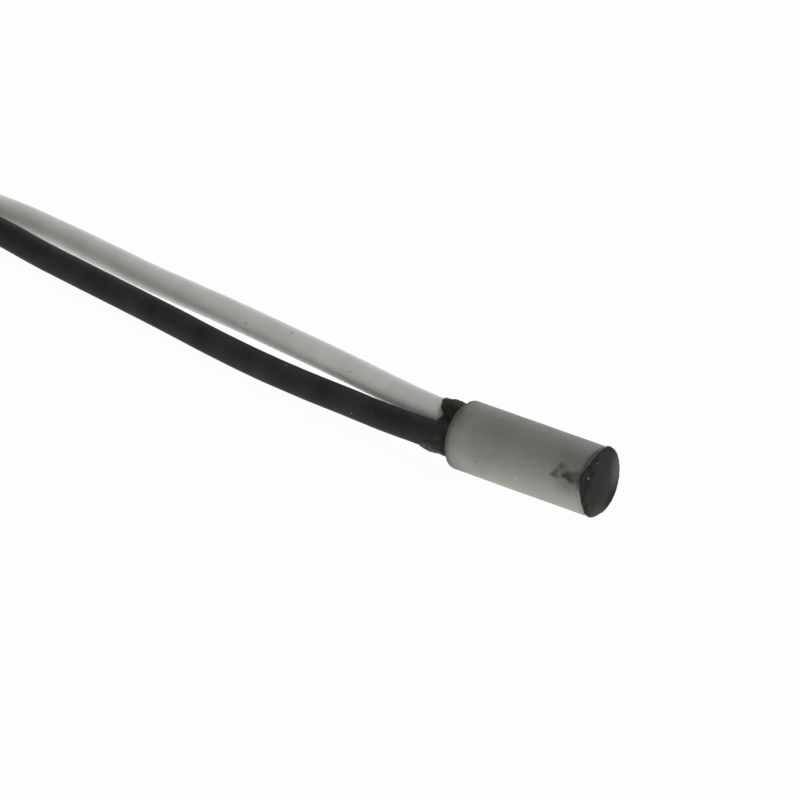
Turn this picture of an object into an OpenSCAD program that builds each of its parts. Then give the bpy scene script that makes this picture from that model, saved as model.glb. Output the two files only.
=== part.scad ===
// Miniature ceramic-cased platinum resistance sensor with two insulated leads.
// The case lies on its side: +X points along it to the closed tip, +Z is up, and Z = 0 is the
// surface that it lies on. The origin is under the middle of the case, tip seal and potting.

/* [Case] */
// Outer diameter of the ceramic tube
case_d = 3.2; // [3:0.1:6]
// Length of the ceramic tube
case_len = 7.25; // [6.8:0.05:20]
// Diameter of the bore that the leads go into
bore_d = 2.66; // [2.66:0.02:2.8]
// Chamfer on the outer edge of each end
edge_break = 0.12; // [0.05:0.01:0.2]

/* [Tip seal] */
// Thickness of the seal outside the tube
tip_cap = 0.05; // [0.05:0.01:0.2]
// Depth of the seal inside the bore
tip_plug = 0.5; // [0.3:0.1:1]
// Rounding on the rim of the seal
tip_round = 0.03; // [0.01:0.01:0.04]

/* [Potting] */
// Depth of the potting inside the bore
potting_depth = 1.6; // [1:0.1:2]
// Length of the collar outside the tube
collar_len = 1.4; // [0.5:0.05:1.6]
// How far the collar stands proud of the leads
collar_skin = 0.1; // [0.05:0.01:0.15]
// Length of the lip on the black lead
lip_reach = 2; // [1.7:0.1:2.5]

/* [Leads] */
// Outer diameter of the lead insulation
lead_d = 1.28; // [1:0.01:1.28]
// Diameter of the stranded conductor
conductor_d = 0.6; // [0.4:0.05:0.7]
// Length of bare conductor at each free end
strip_len = 5; // [3:0.5:8]
// Length of bare conductor inside the case
joint_strip = 1; // [0.8:0.1:1]

/* [Splice sleeves] */
// Outer diameter of a sleeve
sleeve_d = 0.96; // [0.8:0.02:1]
// Length of a sleeve
sleeve_len = 1.2; // [1:0.1:1.3]
// Length of the sleeve's wide bore
sleeve_socket = 0.6; // [0.6:0.1:0.7]

/* [Sensing chip] */
// Length of the ceramic chip
chip_len = 1.9; // [1.5:0.1:2]
// Width of the ceramic chip
chip_w = 1.4; // [1.4:0.05:1.5]
// Thickness of the ceramic chip
chip_t = 0.4; // [0.3:0.05:0.5]
// Thickness of the platinum track, drawn thicker than a real film
film_t = 0.02; // [0.01:0.01:0.03]
// Strips in the platinum track
film_strips = 8; // [4:2:8]
// Thickness of the glass over the track
glass_t = 0.12; // [0.08:0.01:0.15]
// Diameter of the element wires
wire_d = 0.2; // [0.15:0.01:0.25]

/* [Lead hank] */
// Turns that each lead makes in the hank
hank_turns = 3; // [3:1:3]
// Length of the straight side of the hank
hank_run = 19.3; // [19.2:0.1:24]
// Outer radius of the hank's end loops
loop_r = 5.94; // [5.5:0.02:7]
// Half width of the hank where the tie draws it in
waist_r = 2.6; // [2.5:0.05:3]
// Width of the tie
tie_w = 2.5; // [2:0.1:4]
// Thickness of the tie over its wire
tie_t = 0.4; // [0.3:0.05:0.5]
// Thickness of the tie's flat strip
tie_strip_t = 0.2; // [0.1:0.05:0.25]
// Width of the ridge that the tie's wire makes
tie_ridge_w = 0.7; // [0.5:0.1:1]
// Length of the tie's twisted ends
twist_len = 5; // [4:0.5:5]

/* [Hidden] */
$fn = 64;

case_r = case_d / 2;
bore_r = bore_d / 2;
lead_r = lead_d / 2;
wire_r = wire_d / 2;
tip_x = (lip_reach + case_len + tip_cap) / 2;
case_front = tip_x - tip_cap;
case_back = case_front - case_len;

// The seal covers half of the flat end of the tube's wall.
seal_r = (bore_r + case_r - edge_break) / 2;

// The parts inside the case are drawn with the white lead over the black one, and are then turned
// about the case's axis, so that the white lead lies behind the black one and a little higher.
lead_turn = 67;
lead_y = -0.1;
white_z = case_r + lead_r;
black_z = case_r - lead_r;

// Where a point [y, z] of the inner parts is once they are turned.
function turned_point(y, z) = [
    y * cos(lead_turn) + (z - case_r) * sin(lead_turn),
    case_r - y * sin(lead_turn) + (z - case_r) * cos(lead_turn)];

// Stations along the case, from the inner end of the leads to the chip's far edge.
lead_end_x = case_back + potting_depth;
sleeve_x = lead_end_x + 0.5;
chip_x = sleeve_x + sleeve_len + 0.85;
pad_len = 0.55;
pad_z = 0.46;
pad_w = 0.4;
chip_y = lead_y + wire_r;
track_w = 0.06;
track_pitch = (chip_w - 0.18 - track_w) / (film_strips - 1);
track_len = chip_len - pad_len - 0.3;
bead_r = 0.34;

// Routes of the leads from inside the case to the hank, and from the hank to their bare ends.
white_exit = turned_point(lead_y, white_z);
black_exit = turned_point(lead_y, black_z);
white_route = [[lead_end_x, each white_exit], [-3, each white_exit], [-4.7, each white_exit],
    [-7, 0.95, 1.85], [-9.5, 1.49, 1.75], [-12, 2.04, 1.63], [-15, 2.67, 1.47],
    [-18, 3.3, 1.31], [-21, 3.87, 1.15], [-24, 4.45, 0.98], [-27, 5.12, 0.81], [-30, 5.72, 0.69],
    [-33, 6.15, 0.64], [-36, 6.3, 0.64], [-38.5, 6.3, 0.64]];
black_route = [[lead_end_x, each black_exit], [-3, each black_exit], [-4.7, each black_exit],
    [-7, -0.3, 1.24], [-9.5, 0.16, 1.03], [-12, 0.6, 0.82], [-15, 1.06, 0.7], [-18, 1.6, 0.64],
    [-21, 2.16, 0.64], [-24, 2.67, 0.64], [-27, 3.18, 0.64], [-30, 3.75, 0.64], [-33, 4.4, 0.64],
    [-36, 4.85, 0.64], [-38.5, 4.9, 0.64]];
white_tail_route = [[-57.8, 6.3, 4.48], [-60.5, 6.3, 4.48], [-62.5, 6.35, 4.2], [-64.5, 6.4, 3.3],
    [-66.5, 6.4, 2], [-68.5, 6.4, 1], [-70.5, 6.4, 0.64], [-72, 6.4, 0.64]];
black_tail_route = [[-57.8, 4.9, 4.48], [-60.5, 4.9, 4.48], [-62.8, 4.95, 4.48], [-65, 5, 3.7],
    [-67.5, 5, 2.1], [-70, 4.9, 0.9], [-72.5, 4.3, 0.64], [-75, 2.6, 0.64], [-76.3, 0.1, 0.64],
    [-76.1, -2.3, 0.64], [-74.5, -4.3, 0.64], [-72, -5.4, 0.64], [-69, -5.7, 0.64],
    [-66, -5.7, 0.64], [-63, -5.7, 0.64]];

near_x = -38.5;
far_x = near_x - hank_run;
middle_x = (near_x + far_x) / 2;
hank_y = 1;
stack_h = hank_turns * lead_d;

// Unit vector along v.
function unit(v) = v / norm(v);

// Direction of a route at its point i.
function heading(route, i) =
    unit(route[min(i + 1, len(route) - 1)] - route[max(i - 1, 0)]);

// Ring of a tube's corners about point i of a route; the rings keep one corner straight up.
function ring(route, i, r, sides) =
    let (along = heading(route, i),
        side = unit(cross([0, 0, 1], along)),
        over = cross(along, side))
    [for (k = [0:sides - 1])
        route[i] + r * (cos(360 * k / sides) * over + sin(360 * k / sides) * side)];

// Half width of the hank at a share u of its straight side, drawn in under the tie.
function hank_half(u) =
    let (flat = tie_w / hank_run / 2,
        away = max(0, abs(u - 0.5) - flat) / (0.5 - flat))
    waist_r + (loop_r - waist_r) * (1 - cos(180 * away)) / 2;

// The points of a polygon with each corner cut off flat.
function cut_corners(points, cut) = [for (i = [0:len(points) - 1])
    let (here = points[i], before = points[(i + len(points) - 1) % len(points)],
        after = points[(i + 1) % len(points)])
    each [here + cut * unit(before - here), here + cut * unit(after - here)]];

// The points of a convex polygon, drawn anticlockwise, with every side moved out.
function outset(points, by) = [for (i = [0:len(points) - 1])
    let (a = unit(points[i] - points[(i + len(points) - 1) % len(points)]),
        b = unit(points[(i + 1) % len(points)] - points[i]),
        out_a = [a.y, -a.x], out_b = [b.y, -b.x])
    points[i] + by * (out_a + out_b) / (1 + out_a * out_b)];

// Outline of the strands under the tie, in [y, z] from the hank's middle.
tie_seat = cut_corners([
    [-waist_r, tie_t], [waist_r, tie_t], [waist_r, stack_h + lead_d + tie_t],
    [0.1, stack_h + lead_d + tie_t], [-waist_r, stack_h + tie_t]], 0.27);

// Closed tube along a route.
module tube(route, d, sides = 8) {
    rings = len(route);
    points = [for (i = [0:rings - 1]) each ring(route, i, d / 2, sides)];
    start = [for (k = [sides - 1:-1:0]) k];
    end = [for (k = [0:sides - 1]) (rings - 1) * sides + k];
    walls = [for (i = [0:rings - 2], k = [0:sides - 1])
        let (a = i * sides + k, b = i * sides + (k + 1) % sides)
        each [[a, b, b + sides], [a, b + sides, a + sides]]];
    polyhedron(points = points, faces = concat([start], walls, [end]), convexity = 6);
}

// Round bar along +X that starts at [x, y, z].
module bar_x(x, y, z, d, length) {
    translate([x, y, z])
        rotate([0, 90, 0])
            cylinder(d = d, h = length);
}

// Solid of revolution about the case's axis; the profile is [radius, distance along +X].
module turned(x, profile) {
    translate([x, 0, case_r])
        rotate([0, 90, 0])
            rotate_extrude()
                polygon(profile);
}

// Flat plate in the plane of the chip, y from the given face, drawn in [x, z].
module chip_plate(y, thickness) {
    translate([chip_x, y + thickness, case_r])
        rotate([90, 0, 0])
            linear_extrude(thickness)
                children();
}

// Turns the inner parts about the case's axis.
module inside_turned() {
    translate([0, 0, case_r])
        rotate([-lead_turn, 0, 0])
            translate([0, 0, -case_r])
                children();
}

module ceramic_case() {
    color("gray")
        turned(case_back, [
            [bore_r, 0], [case_r - edge_break, 0], [case_r, edge_break],
            [case_r, case_len - edge_break], [case_r - edge_break, case_len],
            [bore_r, case_len]]);
}

module tip_seal() {
    color("dimgray")
        turned(case_front - tip_plug, [
            [0, 0], [bore_r, 0], [bore_r, tip_plug], [seal_r, tip_plug],
            [seal_r, tip_plug + tip_cap - tip_round],
            [seal_r - tip_round, tip_plug + tip_cap], [0, tip_plug + tip_cap]]);
}

// Space that both leads take up in the potting; none gets into the crevice where they touch.
module lead_holes() {
    crevice_w = 0.3;
    hole_x = case_back - lip_reach - 1;
    hole_len = lead_end_x - hole_x;
    for (z = [black_z, white_z])
        bar_x(hole_x, lead_y, z, lead_d, hole_len);
    translate([hole_x, lead_y - crevice_w / 2, black_z])
        cube([hole_len, crevice_w, white_z - black_z]);
}

// Collar that wets both leads, flared to the width of the bore where it meets the tube.
module potting_collar() {
    flare_len = 0.6;
    collar_r = lead_r + collar_skin;
    translate([case_back - collar_len, lead_y, case_r])
        rotate([90, 0, 90])
            linear_extrude(collar_len) {
                for (z = [-lead_r, lead_r])
                    translate([0, z])
                        circle(collar_r);
                translate([-collar_r, -lead_r])
                    square([2 * collar_r, lead_d]);
            }
    translate([case_back - flare_len, 0, case_r])
        rotate([0, 90, 0])
            cylinder(r1 = collar_r, r2 = bore_r - 0.04, h = flare_len);
}

// Thin smear that tapers off along the black lead.
module potting_lip() {
    taper = atan2(lead_r, lip_reach - collar_len);
    lip_turn = 27;
    lip_r = lead_r + collar_skin + 0.02;
    // It ends inside the collar, short of the tube.
    lip_len = lip_reach - 0.15;
    translate([case_back - lip_reach, lead_y, black_z])
        rotate([lip_turn, 0, 0])
            intersection() {
                bar_x(0, 0, 0, 2 * lip_r, lip_len);
                translate([0, -case_r, -black_z])
                    rotate([0, -taper, 0])
                        translate([0, 0, -case_r])
                            cube([2 * case_r, case_d, case_r + collar_skin]);
            }
}

module lead_end_potting() {
    color("#2a2925")
        inside_turned()
            difference() {
                union() {
                    bar_x(case_back, 0, case_r, bore_d, potting_depth);
                    potting_collar();
                    potting_lip();
                }
                lead_holes();
            }
}

module element_filler() {
    color("ivory")
        inside_turned()
            difference() {
                bar_x(lead_end_x, 0, case_r, bore_d, case_front - tip_plug - lead_end_x);
                for (side = [-1, 1]) {
                    lead_conductor(side);
                    bar_x(sleeve_x, lead_y, case_r + side * lead_r, sleeve_d, sleeve_len);
                    element_wire(side);
                }
                bead_solid();
                cover_solid();
                chip_solid();
                track_solid();
            }
}

module chip_solid() {
    chip_plate(chip_y + film_t, chip_t)
        translate([0, -chip_w / 2])
            square([chip_len, chip_w]);
}

module chip_substrate() {
    color("white")
        inside_turned()
            chip_solid();
}

// Platinum track in [x, z]: two pads, and strips joined end to end between them.
module track_outline() {
    first_z = -(film_strips - 1) / 2 * track_pitch;
    track_x = 0.1 + pad_len + 0.12;
    for (side = [-1, 1])
        translate([0.1, side * pad_z - pad_w / 2])
            square([pad_len, pad_w]);
    for (i = [0:film_strips - 1]) {
        z = first_z + i * track_pitch;
        outer = i == 0 || i == film_strips - 1;
        translate([outer ? pad_len : track_x, z - track_w / 2])
            square([track_len + (outer ? track_x - pad_len : 0), track_w]);
        if (i < film_strips - 1)
            translate([i % 2 == 0 ? track_x + track_len - track_w : track_x, z - track_w / 2])
                square([track_w, track_pitch + track_w]);
    }
}

module track_solid() {
    chip_plate(chip_y, film_t)
        track_outline();
}

module platinum_track() {
    color("silver")
        inside_turned()
            track_solid();
}

// Block of glass over the track.
module cover_solid() {
    chip_plate(chip_y + film_t - glass_t, glass_t)
        translate([0.1 + pad_len + 0.04, -chip_w / 2 + 0.04])
            square([chip_len - pad_len - 0.2, chip_w - 0.08]);
}

module glass_cover() {
    color("lightblue")
        inside_turned()
            difference() {
                cover_solid();
                track_solid();
            }
}

// Half-round bead across both pads.
module bead_solid() {
    intersection() {
        translate([chip_x + 0.1 + pad_len / 2, chip_y + film_t, case_r - chip_w / 2 + 0.05])
            cylinder(r = bead_r, h = chip_w - 0.1);
        translate([chip_x, chip_y + film_t - 1, case_r - chip_w])
            cube([chip_len, 1, 2 * chip_w]);
    }
}

module glass_bead() {
    color("lightblue")
        inside_turned()
            difference() {
                bead_solid();
                cover_solid();
                track_solid();
                element_wire(1);
                element_wire(-1);
            }
}

// Element wire from inside a sleeve to a pad; side is 1 above the axis, -1 below.
module element_wire(side) {
    start_x = sleeve_x + sleeve_socket;
    bar_x(start_x, lead_y, case_r + side * pad_z, wire_d, chip_x + pad_len - start_x);
}

module element_wire_a() {
    color("silver")
        inside_turned()
            element_wire(1);
}

module element_wire_b() {
    color("silver")
        inside_turned()
            element_wire(-1);
}

// Sleeve on a lead's conductor at one end, with the element wire held off centre at the other.
module splice_sleeve(side) {
    joint_z = case_r + side * lead_r;
    color("silver")
        inside_turned()
            difference() {
                bar_x(sleeve_x, lead_y, joint_z, sleeve_d, sleeve_len);
                bar_x(sleeve_x - 1, lead_y, joint_z, conductor_d, 1 + sleeve_socket);
                bar_x(sleeve_x, lead_y, case_r + side * pad_z, wire_d, sleeve_len + 1);
            }
}

module splice_sleeve_a() {
    splice_sleeve(1);
}

module splice_sleeve_b() {
    splice_sleeve(-1);
}

// Stripped inner end of a lead; side is 1 for the white lead, -1 for the black one.
module lead_conductor(side) {
    bar_x(lead_end_x, lead_y, case_r + side * lead_r, conductor_d, joint_strip);
}

module white_lead_conductor() {
    color("lightgray")
        inside_turned()
            lead_conductor(1);
}

module black_lead_conductor() {
    color("lightgray")
        inside_turned()
            lead_conductor(-1);
}

module white_lead() {
    color("gainsboro")
        tube(white_route, lead_d);
}

module black_lead() {
    color("#202022")
        tube(black_route, lead_d);
}

// Outline of the hank from above: two round loops and sides that the tie draws in.
module hank_outline() {
    steps = 16;
    polygon(concat(
        [for (k = [0:steps]) [near_x - hank_run * k / steps, hank_y + hank_half(k / steps)]],
        [for (k = [1:steps - 1])
            [far_x - loop_r * sin(180 * k / steps), hank_y + loop_r * cos(180 * k / steps)]],
        [for (k = [steps:-1:0]) [near_x - hank_run * k / steps, hank_y - hank_half(k / steps)]],
        [for (k = [1:steps - 1])
            [near_x + loop_r * sin(180 * k / steps), hank_y - loop_r * cos(180 * k / steps)]]));
}

// Slice of the hank about the tie's middle, drawn in [y, z].
module at_the_tie(width) {
    translate([middle_x - width / 2, hank_y, 0])
        rotate([90, 0, 90])
            linear_extrude(width)
                children();
}

module lead_hank() {
    color("dimgray") {
        difference() {
            union() {
                linear_extrude(stack_h)
                    hank_outline();
                // The last straight stretch lies on top, on the side where the leads come in.
                linear_extrude(stack_h + lead_d)
                    intersection() {
                        hank_outline();
                        translate([far_x, hank_y])
                            square([hank_run + loop_r, loop_r]);
                    }
            }
            // The leads come in under the near loop.
            translate([near_x, hank_y + waist_r, -1])
                cube([loop_r, loop_r, lead_d + 1]);
            // The strands under the tie are drawn apart.
            translate([middle_x - tie_w / 2, hank_y - loop_r, -1])
                cube([tie_w, 2 * loop_r, stack_h + 2 * lead_d]);
        }
        // Strands under the tie stand higher by its thickness.
        at_the_tie(tie_w)
            polygon(tie_seat);
    }
}

// Band of the tie, of a width and a thickness.
module tie_band(width, thickness) {
    at_the_tie(width)
        difference() {
            polygon(outset(tie_seat, thickness));
            polygon(tie_seat);
        }
}

module hank_tie() {
    color("white") {
        tie_band(tie_w, tie_strip_t);
        tie_band(tie_ridge_w, (tie_strip_t + tie_t) / 2);
        tie_band(tie_ridge_w / 2, tie_t);
        // The two ends are twisted together and stand off beside the waist.
        translate([middle_x, hank_y + waist_r + 0.55, stack_h / 2])
            rotate([0, -90, -30])
                linear_extrude(height = twist_len, twist = 900, slices = 30, segments = 4)
                    square([1.2, 0.5], center = true);
    }
}

module white_lead_tail() {
    color("gainsboro")
        tube(white_tail_route, lead_d);
}

module black_lead_tail() {
    color("#202022")
        tube(black_tail_route, lead_d);
}

// Bare conductor that carries on from the end of a route.
module bare_tip(route) {
    last = len(route) - 1;
    along = heading(route, last);
    color("silver")
        translate(route[last])
            rotate([0, acos(along.z), atan2(along.y, along.x)])
                cylinder(d = conductor_d, h = strip_len);
}

module white_lead_tip() {
    bare_tip(white_tail_route);
}

module black_lead_tip() {
    bare_tip(black_tail_route);
}

ceramic_case();
tip_seal();
lead_end_potting();
element_filler();
chip_substrate();
platinum_track();
glass_cover();
glass_bead();
element_wire_a();
element_wire_b();
splice_sleeve_a();
splice_sleeve_b();
white_lead_conductor();
black_lead_conductor();
white_lead();
black_lead();
lead_hank();
hank_tie();
white_lead_tail();
black_lead_tail();
white_lead_tip();
black_lead_tip();
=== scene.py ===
"""Looks of a miniature ceramic-cased platinum temperature sensor with two insulated leads."""
import math

import bpy
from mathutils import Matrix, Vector, noise


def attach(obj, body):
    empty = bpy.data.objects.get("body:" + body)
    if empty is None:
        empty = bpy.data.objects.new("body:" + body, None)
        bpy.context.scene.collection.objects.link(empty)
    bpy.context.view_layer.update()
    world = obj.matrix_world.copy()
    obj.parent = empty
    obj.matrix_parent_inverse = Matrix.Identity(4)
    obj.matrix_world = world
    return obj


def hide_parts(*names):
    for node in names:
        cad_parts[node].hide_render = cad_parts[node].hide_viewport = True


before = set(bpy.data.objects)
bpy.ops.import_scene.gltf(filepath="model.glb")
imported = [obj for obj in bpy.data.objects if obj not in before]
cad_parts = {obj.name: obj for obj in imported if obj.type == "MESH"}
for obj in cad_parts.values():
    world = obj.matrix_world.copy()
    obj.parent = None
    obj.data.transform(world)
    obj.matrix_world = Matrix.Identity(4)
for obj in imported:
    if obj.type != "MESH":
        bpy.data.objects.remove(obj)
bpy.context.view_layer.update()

# Camera
# A long lens looks down on the probe's side and its closed tip, as in a bench photograph.
# The case lies right of the picture's middle, and the leads run out at its left edge.
MM = 0.001
VIEW_AZIMUTH = 37.05
VIEW_ELEVATION = 28.05
VIEW_DISTANCE = 375 * MM
VIEW_TARGET = Vector((-6.943, 0.865, 1.6)) * MM
LENS_LENGTH = 377.3
SENSOR_WIDTH = 36


def set_camera():
    """Points the camera at the target; at azimuth 0 it would look along +Y."""
    azimuth = math.radians(VIEW_AZIMUTH)
    elevation = math.radians(VIEW_ELEVATION)
    back = Vector((
        math.sin(azimuth) * math.cos(elevation),
        -math.cos(azimuth) * math.cos(elevation),
        math.sin(elevation),
    ))
    data = bpy.data.cameras.new("camera")
    data.lens = LENS_LENGTH
    data.sensor_width = SENSOR_WIDTH
    data.clip_start = 1 * MM
    data.clip_end = 10
    camera = bpy.data.objects.new("camera", data)
    camera.location = VIEW_TARGET + back * VIEW_DISTANCE
    camera.rotation_euler = back.to_track_quat("Z", "Y").to_euler()
    bpy.context.collection.objects.link(camera)
    bpy.context.scene.camera = camera


set_camera()

# Insulated leads
# Two stranded wires in extruded fluoropolymer, one white and one black, about 300 mm long each.
# They leave the potting side by side, cross the bench and are wound into a hank together.
LEAD_D = 1.28 * MM
LEAD_R = LEAD_D / MM / 2
# Each lead's way from inside the potting to the hank, and its tail from the hank, in mm.
WHITE_ROUTE = [
    (-1.05, 0.55, 1.942), (-3, 0.55, 1.942), (-4.7, 0.55, 1.942), (-7, 0.95, 1.85),
    (-9.5, 1.49, 1.75), (-12, 2.04, 1.63), (-15, 2.67, 1.47), (-18, 3.3, 1.31), (-21, 3.87, 1.14),
    (-24, 4.45, 0.96), (-27, 5.12, 0.8), (-30, 5.72, 0.69), (-33, 6.15, 0.64), (-36, 6.3, 0.64),
]
BLACK_ROUTE = [
    (-1.05, -0.628, 1.442), (-3, -0.628, 1.442), (-4.7, -0.628, 1.442), (-7, -0.3, 1.24),
    (-9.5, 0.16, 1.03), (-12, 0.6, 0.82), (-15, 1.06, 0.7), (-18, 1.6, 0.64), (-21, 2.16, 0.65),
    (-24, 2.67, 0.67), (-27, 3.18, 0.67), (-30, 3.75, 0.64), (-33, 4.4, 0.64), (-36, 4.85, 0.64),
]
WHITE_TAIL = [
    (-60.5, 6.3, 4.48), (-62.5, 6.35, 4.2), (-64.5, 6.4, 3.3), (-66.5, 6.4, 2), (-68.5, 6.4, 1),
    (-70.5, 6.4, 0.64), (-72, 6.4, 0.64),
]
BLACK_TAIL = [
    (-60.5, 4.9, 4.48), (-62.8, 4.95, 4.48), (-65, 5, 3.7), (-67.5, 5, 2.1), (-70, 4.9, 0.9),
    (-72.5, 4.3, 0.64), (-75, 2.6, 0.64), (-76.3, 0.1, 0.64), (-76.1, -2.3, 0.64),
    (-74.5, -4.3, 0.64), (-72, -5.4, 0.64), (-69, -5.7, 0.64), (-66, -5.7, 0.64),
    (-63, -5.7, 0.64),
]
HANK_NEAR_X = -38.5
HANK_RUN = 19.3
HANK_Y = 1.0
HANK_TURNS = 3
TIE_W = 2.5
TIE_T = 0.4
# Radius of each lead's end loops, and its distance from the middle under the tie, in mm.
LANES = {"white": (5.3, 1.96), "black": (3.9, 0.68)}
# Points along each straight run and each end loop.
HANK_STEPS = 24
# Distance between the rings of a lead's mesh in mm, and the sides of a ring.
RING_STEP = 0.35
LEAD_SIDES = 28


def smooth(low, high, value):
    """A soft step from 0 at a low value to 1 at a high one."""
    share = min(1, max(0, (value - low) / (high - low)))
    return share * share * (3 - 2 * share)


def away_from_tie(share):
    """0 where the tie holds the run and 1 at the run's ends, for a share of its length."""
    flat = TIE_W / HANK_RUN / 2
    away = max(0, abs(share - 0.5) - flat) / (0.5 - flat)
    return (1 - math.cos(math.pi * away)) / 2


def on_straight_run(share, loop_r, waist_r):
    """How far a lead runs from the hank's middle line, and its lift over the tie, in mm."""
    out = away_from_tie(share)
    return waist_r + (loop_r - waist_r) * out, TIE_T * (1 - out)


def hank_route(loop_r, waist_r):
    """Centreline of one lead in the hank, in mm: full turns, and then one more straight run."""
    route = []
    lead_d = LEAD_D / MM
    far_x = HANK_NEAR_X - HANK_RUN
    climbed_at = 0.7
    for turn in range(HANK_TURNS + 1):
        z = lead_d * (turn + 0.5)
        for k in range(HANK_STEPS):
            half, lift = on_straight_run(k / HANK_STEPS, loop_r, waist_r)
            route.append((HANK_NEAR_X - HANK_RUN * k / HANK_STEPS, HANK_Y + half, z + lift))
        if turn == HANK_TURNS:
            break
        for k in range(HANK_STEPS):
            bend = math.pi * k / HANK_STEPS
            route.append((far_x - loop_r * math.sin(bend), HANK_Y + loop_r * math.cos(bend), z))
        for k in range(HANK_STEPS):
            half, lift = on_straight_run(k / HANK_STEPS, loop_r, waist_r)
            route.append((far_x + HANK_RUN * k / HANK_STEPS, HANK_Y - half, z + lift))
        for k in range(HANK_STEPS):
            bend = math.pi * k / HANK_STEPS
            climb = lead_d * smooth(0, climbed_at, k / HANK_STEPS)
            x = HANK_NEAR_X + loop_r * math.sin(bend)
            route.append((x, HANK_Y - loop_r * math.cos(bend), z + climb))
    route.append((far_x, HANK_Y + loop_r, lead_d * (HANK_TURNS + 0.5)))
    return route


def smooth_path(route, step):
    """Evenly spaced points of a smooth curve through a route, in the route's units."""
    points = [Vector(p) for p in route]
    points = [2 * points[0] - points[1]] + points + [2 * points[-1] - points[-2]]
    dense = []
    pieces = 12
    for a, b, c, d in zip(points, points[1:], points[2:], points[3:]):
        for k in range(pieces):
            t = k / pieces
            dense.append(0.5 * (
                2 * b + (c - a) * t + (2 * a - 5 * b + 4 * c - d) * t * t
                + (3 * b - a - 3 * c + d) * t * t * t
            ))
    dense.append(points[-2])
    even = [dense[0]]
    left = step
    for p, q in zip(dense, dense[1:]):
        gone = 0
        length = (q - p).length
        while length - gone >= left:
            gone += left
            even.append(p.lerp(q, gone / length))
            left = step
        left -= length - gone
    even.append(dense[-1])
    if (even[-1] - even[-2]).length < step / 2:
        even.pop(-2)
    return even


def route_frames(path):
    """A direction, a side and an upward vector at each point of a path, without twist."""
    frames = []
    over = Vector((0, 0, 1))
    for k, point in enumerate(path):
        along = (path[min(k + 1, len(path) - 1)] - path[max(k - 1, 0)]).normalized()
        side = over.cross(along).normalized()
        over = along.cross(side).normalized()
        frames.append((point, along, side, over))
    return frames


def mesh_object(name, vertices, faces):
    """A new object from vertices in mm."""
    mesh = bpy.data.meshes.new(name)
    mesh.from_pydata([Vector(v) * MM for v in vertices], [], faces)
    mesh.validate()
    mesh.polygons.foreach_set("use_smooth", [True] * len(mesh.polygons))
    piece = bpy.data.objects.new(name, mesh)
    bpy.context.collection.objects.link(piece)
    return piece


def tube(path, radius, sides, width_at=lambda n: 1.0):
    """Vertices and faces of a closed tube along a path, with a broken edge at each end.

    width_at gives the share of its full width that the tube has at a ring.
    """
    vertices = []
    faces = []
    frames = route_frames(path)
    edge = radius * 0.12
    rings = [(frames[0], radius - edge)]
    rings += [(here, radius) for here in frames]
    rings += [(frames[-1], radius - edge)]
    for n, ((point, along, side, over), ring_r) in enumerate(rings):
        if n == 1:
            point = point + along * edge * 0.5
        if n == len(rings) - 2:
            point = point - along * edge * 0.5
        for k in range(sides):
            turn = 2 * math.pi * k / sides
            out = over * math.cos(turn) + side * math.sin(turn)
            vertices.append(point + out * ring_r * width_at(n))
    for n in range(len(rings) - 1):
        for k in range(sides):
            a = n * sides + k
            b = n * sides + (k + 1) % sides
            faces.append((a, a + sides, b + sides, b))
    faces.append(tuple(range(sides)))
    faces.append(tuple(reversed(range((len(rings) - 1) * sides, len(rings) * sides))))
    return vertices, faces


def linear(colour):
    """RGBA of an sRGB hex colour, as the shader reads it."""
    channels = [int(colour[k:k + 2], 16) / 255 for k in (1, 3, 5)]
    return [c / 12.92 if c <= 0.04045 else ((c + 0.055) / 1.055) ** 2.4 for c in channels] + [1]


def node(tree, kind, settings=(), links=()):
    """Adds a node; settings go to its ramp, properties or inputs, links to its inputs."""
    made = tree.nodes.new(kind)
    for key, value in dict(settings).items():
        if key == "stops":
            for element, (position, colour) in zip(made.color_ramp.elements, value):
                element.position = position
                element.color = linear(colour)
        elif isinstance(key, str) and hasattr(made, key):
            setattr(made, key, value)
        else:
            made.inputs[key].default_value = value
    for key, socket in dict(links).items():
        tree.links.new(socket, made.inputs[key])
    return made


def new_material(name):
    """An empty material with an output, and its surface coordinates in mm."""
    material = bpy.data.materials.new(name)
    material.use_nodes = True
    tree = material.node_tree
    tree.nodes.clear()
    place = node(tree, "ShaderNodeTexCoord")
    in_mm = node(tree, "ShaderNodeVectorMath", {"operation": "SCALE", "Scale": 1 / MM},
                 {0: place.outputs["Object"]})
    return material, tree, in_mm.outputs[0]


def finish_material(tree, settings, links):
    """Ends a material in one principled surface."""
    surface = node(tree, "ShaderNodeBsdfPrincipled", settings, links)
    node(tree, "ShaderNodeOutputMaterial", links={"Surface": surface.outputs[0]})


def clouded(tree, place, size, detail, dark, light):
    """Soft patches of a size in mm, between two colours."""
    cloud = node(tree, "ShaderNodeTexNoise", {"Scale": 1 / size, "Detail": detail},
                 {"Vector": place})
    patches = node(tree, "ShaderNodeValToRGB", {"stops": [(0.32, dark), (0.68, light)]},
                   {"Fac": cloud.outputs["Fac"]})
    return patches.outputs["Color"]


def speckled(tree, place, base, size, low, high, colour, share=1.0):
    """The base colour with specks of another, where noise of a size in mm is high."""
    specks = node(tree, "ShaderNodeTexNoise", {"Scale": 1 / size, "Detail": 2}, {"Vector": place})
    cover = node(tree, "ShaderNodeMapRange", {"From Min": low, "From Max": high, "To Max": share},
                 {"Value": specks.outputs["Fac"]})
    both = node(tree, "ShaderNodeMix", {"data_type": "RGBA", 7: linear(colour)},
                {0: cover.outputs[0], 6: base})
    return both.outputs[2]


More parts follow.
